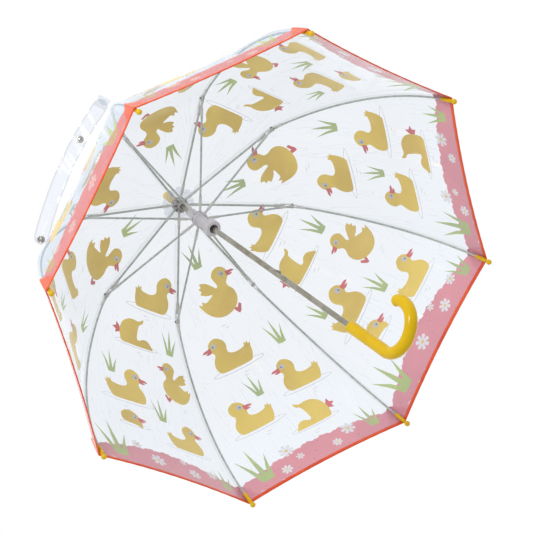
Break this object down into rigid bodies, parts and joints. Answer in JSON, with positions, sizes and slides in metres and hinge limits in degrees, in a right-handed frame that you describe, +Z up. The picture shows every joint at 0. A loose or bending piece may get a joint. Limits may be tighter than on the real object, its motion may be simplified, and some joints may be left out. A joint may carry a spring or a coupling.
{
  "type": "umbrella",
  "caption": "Clear dome umbrella for a child with folding ribs and stretchers, a sliding runner, spring catches, closing strap and a crook handle.",
  "frame": {"origin": "on the shaft's axis at the middle of the straight grip", "axes": "+Z up along the shaft to the cap on top, +X from the shaft towards the crook's free end, +Y to the left of +X seen from above"},
  "size_m": [0.672, 0.6873, 0.6781],
  "materials": {
    "shaft_steel": "satin dark nickel",
    "yellow_plastic": "gloss",
    "clear_disc": "gloss clear",
    "grey_plastic": "satin",
    "wire": "satin",
    "spring_steel": "satin",
    "runner_plastic": "satin",
    "rib_rod": "satin glass-fibre rod with moulded ends",
    "outer_rod": "satin glass-fibre rod",
    "stretcher_rod": "satin",
    "tip_plastic": "gloss",
    "clear_film": "clear film",
    "printed_film": "clear printed film with a coloured border",
    "strap_film": "clear film",
    "stud_metal": "satin"
  },
  "bodies": {
    "root": {"shaft_tube": "shaft_steel", "handle": "yellow_plastic", "ferrule": "yellow_plastic", "top_washer": "clear_disc", "crown": "grey_plastic", "crown_wire": "wire"},
    "rib_1": {"rib_1": "rib_rod"},
    "rib_2": {"rib_2": "rib_rod"},
    "rib_3": {"rib_3": "rib_rod"},
    "rib_4": {"rib_4": "rib_rod"},
    "rib_5": {"rib_5": "rib_rod"},
    "rib_6": {"rib_6": "rib_rod"},
    "rib_7": {"rib_7": "rib_rod"},
    "rib_8": {"rib_8": "rib_rod"},
    "rod_1": {"rod_1": "outer_rod", "tip_1": "tip_plastic"},
    "rod_2": {"rod_2": "outer_rod", "tip_2": "tip_plastic"},
    "rod_3": {"rod_3": "outer_rod", "tip_3": "tip_plastic"},
    "rod_4": {"rod_4": "outer_rod", "tip_4": "tip_plastic"},
    "rod_5": {"rod_5": "outer_rod", "tip_5": "tip_plastic"},
    "rod_6": {"rod_6": "outer_rod", "tip_6": "tip_plastic"},
    "rod_7": {"rod_7": "outer_rod", "tip_7": "tip_plastic"},
    "rod_8": {"rod_8": "outer_rod", "tip_8": "tip_plastic"},
    "stretcher_1": {"stretcher_1": "stretcher_rod"},
    "stretcher_2": {"stretcher_2": "stretcher_rod"},
    "stretcher_3": {"stretcher_3": "stretcher_rod"},
    "stretcher_4": {"stretcher_4": "stretcher_rod"},
    "stretcher_5": {"stretcher_5": "stretcher_rod"},
    "stretcher_6": {"stretcher_6": "stretcher_rod"},
    "stretcher_7": {"stretcher_7": "stretcher_rod"},
    "stretcher_8": {"stretcher_8": "stretcher_rod"},
    "runner": {"runner": "runner_plastic", "runner_wire": "wire"},
    "panel_inner_1": {"panel_inner_1": "clear_film"},
    "panel_inner_2": {"panel_inner_2": "clear_film"},
    "panel_inner_3": {"panel_inner_3": "clear_film"},
    "panel_inner_4": {"panel_inner_4": "clear_film"},
    "panel_inner_5": {"panel_inner_5": "clear_film"},
    "panel_inner_6": {"panel_inner_6": "clear_film"},
    "panel_inner_7": {"panel_inner_7": "clear_film"},
    "panel_inner_8": {"panel_inner_8": "clear_film"},
    "panel_outer_1": {"panel_outer_1": "printed_film"},
    "panel_outer_2": {"panel_outer_2": "printed_film"},
    "panel_outer_3": {"panel_outer_3": "printed_film"},
    "panel_outer_4": {"panel_outer_4": "printed_film"},
    "panel_outer_5": {"panel_outer_5": "printed_film"},
    "panel_outer_6": {"panel_outer_6": "printed_film"},
    "panel_outer_7": {"panel_outer_7": "printed_film"},
    "panel_outer_8": {"panel_outer_8": "printed_film"},
    "strap": {"strap": "strap_film", "press_studs": "stud_metal"},
    "top_catch": {"top_catch": "spring_steel"},
    "bottom_catch": {"bottom_catch": "spring_steel"}
  },
  "joints": [
    {"name": "canopy_fold", "type": "hinge", "parent": "root", "child": "rib_1", "pos_m": [0.00918, -0.00246, 0.545], "axis": [0.2588, 0.9659, 0], "range_deg": [0, 77], "deforming": ["panel_inner_1", "panel_inner_2", "panel_inner_3", "panel_inner_4", "panel_inner_5", "panel_inner_6", "panel_inner_7", "panel_inner_8", "panel_outer_1", "panel_outer_2", "panel_outer_3", "panel_outer_4", "panel_outer_5", "panel_outer_6", "panel_outer_7", "panel_outer_8", "strap", "press_studs"]},
    {"name": "rib_2_fold", "type": "hinge", "parent": "root", "child": "rib_2", "pos_m": [0.00823, 0.00475, 0.545], "axis": [-0.5, 0.866, 0], "range_deg": [-0.2, 77.2]},
    {"name": "rib_3_fold", "type": "hinge", "parent": "root", "child": "rib_3", "pos_m": [0.00246, 0.00918, 0.545], "axis": [-0.9659, 0.2588, 0], "range_deg": [-0.2, 77.2]},
    {"name": "rib_4_fold", "type": "hinge", "parent": "root", "child": "rib_4", "pos_m": [-0.00475, 0.00823, 0.545], "axis": [-0.866, -0.5, 0], "range_deg": [-0.2, 77.2]},
    {"name": "rib_5_fold", "type": "hinge", "parent": "root", "child": "rib_5", "pos_m": [-0.00918, 0.00246, 0.545], "axis": [-0.2588, -0.9659, 0], "range_deg": [-0.2, 77.2]},
    {"name": "rib_6_fold", "type": "hinge", "parent": "root", "child": "rib_6", "pos_m": [-0.00823, -0.00475, 0.545], "axis": [0.5, -0.866, 0], "range_deg": [-0.2, 77.2]},
    {"name": "rib_7_fold", "type": "hinge", "parent": "root", "child": "rib_7", "pos_m": [-0.00246, -0.00918, 0.545], "axis": [0.9659, -0.2588, 0], "range_deg": [-0.2, 77.2]},
    {"name": "rib_8_fold", "type": "hinge", "parent": "root", "child": "rib_8", "pos_m": [0.00475, -0.00823, 0.545], "axis": [0.866, 0.5, 0], "range_deg": [-0.2, 77.2]},
    {"name": "rod_1_bend", "type": "hinge", "parent": "rib_1", "child": "rod_1", "pos_m": [0.16711, -0.04478, 0.513], "axis": [0.2588, 0.9659, 0], "range_deg": [-47.7, 0.2]},
    {"name": "rod_2_bend", "type": "hinge", "parent": "rib_2", "child": "rod_2", "pos_m": [0.14982, 0.0865, 0.513], "axis": [-0.5, 0.866, 0], "range_deg": [-47.7, 0.2]},
    {"name": "rod_3_bend", "type": "hinge", "parent": "rib_3", "child": "rod_3", "pos_m": [0.04478, 0.16711, 0.513], "axis": [-0.9659, 0.2588, 0], "range_deg": [-47.7, 0.2]},
    {"name": "rod_4_bend", "type": "hinge", "parent": "rib_4", "child": "rod_4", "pos_m": [-0.0865, 0.14982, 0.513], "axis": [-0.866, -0.5, 0], "range_deg": [-47.7, 0.2]},
    {"name": "rod_5_bend", "type": "hinge", "parent": "rib_5", "child": "rod_5", "pos_m": [-0.16711, 0.04478, 0.513], "axis": [-0.2588, -0.9659, 0], "range_deg": [-47.7, 0.2]},
    {"name": "rod_6_bend", "type": "hinge", "parent": "rib_6", "child": "rod_6", "pos_m": [-0.14982, -0.0865, 0.513], "axis": [0.5, -0.866, 0], "range_deg": [-47.7, 0.2]},
    {"name": "rod_7_bend", "type": "hinge", "parent": "rib_7", "child": "rod_7", "pos_m": [-0.04478, -0.16711, 0.513], "axis": [0.9659, -0.2588, 0], "range_deg": [-47.7, 0.2]},
    {"name": "rod_8_bend", "type": "hinge", "parent": "rib_8", "child": "rod_8", "pos_m": [0.0865, -0.14982, 0.513], "axis": [0.866, 0.5, 0], "range_deg": [-47.7, 0.2]},
    {"name": "stretcher_1_turn", "type": "hinge", "parent": "rib_1", "child": "stretcher_1", "pos_m": [0.16711, -0.04478, 0.513], "axis": [0.2588, 0.9659, 0], "range_deg": [-154.2, 0.2]},
    {"name": "stretcher_2_turn", "type": "hinge", "parent": "rib_2", "child": "stretcher_2", "pos_m": [0.14982, 0.0865, 0.513], "axis": [-0.5, 0.866, 0], "range_deg": [-154.2, 0.2]},
    {"name": "stretcher_3_turn", "type": "hinge", "parent": "rib_3", "child": "stretcher_3", "pos_m": [0.04478, 0.16711, 0.513], "axis": [-0.9659, 0.2588, 0], "range_deg": [-154.2, 0.2]},
    {"name": "stretcher_4_turn", "type": "hinge", "parent": "rib_4", "child": "stretcher_4", "pos_m": [-0.0865, 0.14982, 0.513], "axis": [-0.866, -0.5, 0], "range_deg": [-154.2, 0.2]},
    {"name": "stretcher_5_turn", "type": "hinge", "parent": "rib_5", "child": "stretcher_5", "pos_m": [-0.16711, 0.04478, 0.513], "axis": [-0.2588, -0.9659, 0], "range_deg": [-154.2, 0.2]},
    {"name": "stretcher_6_turn", "type": "hinge", "parent": "rib_6", "child": "stretcher_6", "pos_m": [-0.14982, -0.0865, 0.513], "axis": [0.5, -0.866, 0], "range_deg": [-154.2, 0.2]},
    {"name": "stretcher_7_turn", "type": "hinge", "parent": "rib_7", "child": "stretcher_7", "pos_m": [-0.04478, -0.16711, 0.513], "axis": [0.9659, -0.2588, 0], "range_deg": [-154.2, 0.2]},
    {"name": "stretcher_8_turn", "type": "hinge", "parent": "rib_8", "child": "stretcher_8", "pos_m": [0.0865, -0.14982, 0.513], "axis": [0.866, 0.5, 0], "range_deg": [-154.2, 0.2]},
    {"name": "runner_turn", "type": "hinge", "parent": "stretcher_1", "child": "runner", "pos_m": [0.00918, -0.00246, 0.481], "axis": [0.2588, 0.9659, 0], "range_deg": [-0.2, 77.2]},
    {"name": "panel_inner_1_follow", "type": "hinge", "parent": "rib_1", "child": "panel_inner_1", "pos_m": [0.03467, 0.00456, 0.56314], "axis": [-0.7989, -0.1052, -0.5922], "range_deg": [-0.2, 55.33]},
    {"name": "panel_inner_2_follow", "type": "hinge", "parent": "rib_2", "child": "panel_inner_2", "pos_m": [0.02129, 0.02774, 0.56314], "axis": [-0.4905, -0.6393, -0.5922], "range_deg": [-0.2, 55.33]},
    {"name": "panel_inner_3_follow", "type": "hinge", "parent": "rib_3", "child": "panel_inner_3", "pos_m": [-0.00456, 0.03467, 0.56314], "axis": [0.1052, -0.7989, -0.5922], "range_deg": [-0.2, 55.33]},
    {"name": "panel_inner_4_follow", "type": "hinge", "parent": "rib_4", "child": "panel_inner_4", "pos_m": [-0.02774, 0.02129, 0.56314], "axis": [0.6393, -0.4905, -0.5922], "range_deg": [-0.2, 55.33]},
    {"name": "panel_inner_5_follow", "type": "hinge", "parent": "rib_5", "child": "panel_inner_5", "pos_m": [-0.03467, -0.00456, 0.56314], "axis": [0.7989, 0.1052, -0.5922], "range_deg": [-0.2, 55.33]},
    {"name": "panel_inner_6_follow", "type": "hinge", "parent": "rib_6", "child": "panel_inner_6", "pos_m": [-0.02129, -0.02774, 0.56314], "axis": [0.4905, 0.6393, -0.5922], "range_deg": [-0.2, 55.33]},
    {"name": "panel_inner_7_follow", "type": "hinge", "parent": "rib_7", "child": "panel_inner_7", "pos_m": [0.00456, -0.03467, 0.56314], "axis": [-0.1052, 0.7989, -0.5922], "range_deg": [-0.2, 55.33]},
    {"name": "panel_inner_8_follow", "type": "hinge", "parent": "rib_8", "child": "panel_inner_8", "pos_m": [0.02774, -0.02129, 0.56314], "axis": [-0.6393, 0.4905, -0.5922], "range_deg": [-0.2, 55.33]},
    {"name": "panel_outer_1_follow", "type": "hinge", "parent": "rod_1", "child": "panel_outer_1", "pos_m": [0.01747, 0.0023, 0.7924], "axis": [-0.9634, -0.1268, -0.2363], "range_deg": [-0.2, 22.57]},
    {"name": "panel_outer_2_follow", "type": "hinge", "parent": "rod_2", "child": "panel_outer_2", "pos_m": [0.01072, 0.01398, 0.7924], "axis": [-0.5915, -0.7709, -0.2363], "range_deg": [-0.2, 22.57]},
    {"name": "panel_outer_3_follow", "type": "hinge", "parent": "rod_3", "child": "panel_outer_3", "pos_m": [-0.0023, 0.01747, 0.7924], "axis": [0.1268, -0.9634, -0.2363], "range_deg": [-0.2, 22.57]},
    {"name": "panel_outer_4_follow", "type": "hinge", "parent": "rod_4", "child": "panel_outer_4", "pos_m": [-0.01398, 0.01072, 0.7924], "axis": [0.7709, -0.5915, -0.2363], "range_deg": [-0.2, 22.57]},
    {"name": "panel_outer_5_follow", "type": "hinge", "parent": "rod_5", "child": "panel_outer_5", "pos_m": [-0.01747, -0.0023, 0.7924], "axis": [0.9634, 0.1268, -0.2363], "range_deg": [-0.2, 22.57]},
    {"name": "panel_outer_6_follow", "type": "hinge", "parent": "rod_6", "child": "panel_outer_6", "pos_m": [-0.01072, -0.01398, 0.7924], "axis": [0.5915, 0.7709, -0.2363], "range_deg": [-0.2, 22.57]},
    {"name": "panel_outer_7_follow", "type": "hinge", "parent": "rod_7", "child": "panel_outer_7", "pos_m": [0.0023, -0.01747, 0.7924], "axis": [-0.1268, 0.9634, -0.2363], "range_deg": [-0.2, 22.57]},
    {"name": "panel_outer_8_follow", "type": "hinge", "parent": "rod_8", "child": "panel_outer_8", "pos_m": [0.01398, -0.01072, 0.7924], "axis": [-0.7709, 0.5915, -0.2363], "range_deg": [-0.2, 22.57]},
    {"name": "strap_swing", "type": "hinge", "parent": "panel_outer_7", "child": "strap", "pos_m": [0.159, -0.2975, 0.33], "axis": [0.225, -0.9744, 0], "range_deg": [0, 50], "stiffness_Nm_per_rad": 0.12},
    {"name": "top_catch_press", "type": "slide", "parent": "root", "child": "top_catch", "axis": [-1, 0, 0], "range_m": [0, 0.0023], "stiffness_N_per_m": 500},
    {"name": "bottom_catch_press", "type": "slide", "parent": "root", "child": "bottom_catch", "axis": [-1, 0, 0], "range_m": [0, 0.0023], "stiffness_N_per_m": 500}
  ],
  "couplings": [
    {"joint": "rib_2_fold", "follows": "canopy_fold", "ratio": 1},
    {"joint": "rib_3_fold", "follows": "canopy_fold", "ratio": 1},
    {"joint": "rib_4_fold", "follows": "canopy_fold", "ratio": 1},
    {"joint": "rib_5_fold", "follows": "canopy_fold", "ratio": 1},
    {"joint": "rib_6_fold", "follows": "canopy_fold", "ratio": 1},
    {"joint": "rib_7_fold", "follows": "canopy_fold", "ratio": 1},
    {"joint": "rib_8_fold", "follows": "canopy_fold", "ratio": 1},
    {"joint": "rod_1_bend", "follows": "canopy_fold", "ratio": -0.61688},
    {"joint": "rod_2_bend", "follows": "canopy_fold", "ratio": -0.61688},
    {"joint": "rod_3_bend", "follows": "canopy_fold", "ratio": -0.61688},
    {"joint": "rod_4_bend", "follows": "canopy_fold", "ratio": -0.61688},
    {"joint": "rod_5_bend", "follows": "canopy_fold", "ratio": -0.61688},
    {"joint": "rod_6_bend", "follows": "canopy_fold", "ratio": -0.61688},
    {"joint": "rod_7_bend", "follows": "canopy_fold", "ratio": -0.61688},
    {"joint": "rod_8_bend", "follows": "canopy_fold", "ratio": -0.61688},
    {"joint": "stretcher_1_turn", "follows": "canopy_fold", "ratio": -2},
    {"joint": "stretcher_2_turn", "follows": "canopy_fold", "ratio": -2},
    {"joint": "stretcher_3_turn", "follows": "canopy_fold", "ratio": -2},
    {"joint": "stretcher_4_turn", "follows": "canopy_fold", "ratio": -2},
    {"joint": "stretcher_5_turn", "follows": "canopy_fold", "ratio": -2},
    {"joint": "stretcher_6_turn", "follows": "canopy_fold", "ratio": -2},
    {"joint": "stretcher_7_turn", "follows": "canopy_fold", "ratio": -2},
    {"joint": "stretcher_8_turn", "follows": "canopy_fold", "ratio": -2},
    {"joint": "runner_turn", "follows": "canopy_fold", "ratio": 1},
    {"joint": "panel_inner_1_follow", "follows": "canopy_fold", "ratio": 0.71594},
    {"joint": "panel_inner_2_follow", "follows": "canopy_fold", "ratio": 0.71594},
    {"joint": "panel_inner_3_follow", "follows": "canopy_fold", "ratio": 0.71594},
    {"joint": "panel_inner_4_follow", "follows": "canopy_fold", "ratio": 0.71594},
    {"joint": "panel_inner_5_follow", "follows": "canopy_fold", "ratio": 0.71594},
    {"joint": "panel_inner_6_follow", "follows": "canopy_fold", "ratio": 0.71594},
    {"joint": "panel_inner_7_follow", "follows": "canopy_fold", "ratio": 0.71594},
    {"joint": "panel_inner_8_follow", "follows": "canopy_fold", "ratio": 0.71594},
    {"joint": "panel_outer_1_follow", "follows": "canopy_fold", "ratio": 0.29046},
    {"joint": "panel_outer_2_follow", "follows": "canopy_fold", "ratio": 0.29046},
    {"joint": "panel_outer_3_follow", "follows": "canopy_fold", "ratio": 0.29046},
    {"joint": "panel_outer_4_follow", "follows": "canopy_fold", "ratio": 0.29046},
    {"joint": "panel_outer_5_follow", "follows": "canopy_fold", "ratio": 0.29046},
    {"joint": "panel_outer_6_follow", "follows": "canopy_fold", "ratio": 0.29046},
    {"joint": "panel_outer_7_follow", "follows": "canopy_fold", "ratio": 0.29046},
    {"joint": "panel_outer_8_follow", "follows": "canopy_fold", "ratio": 0.29046}
  ]
}
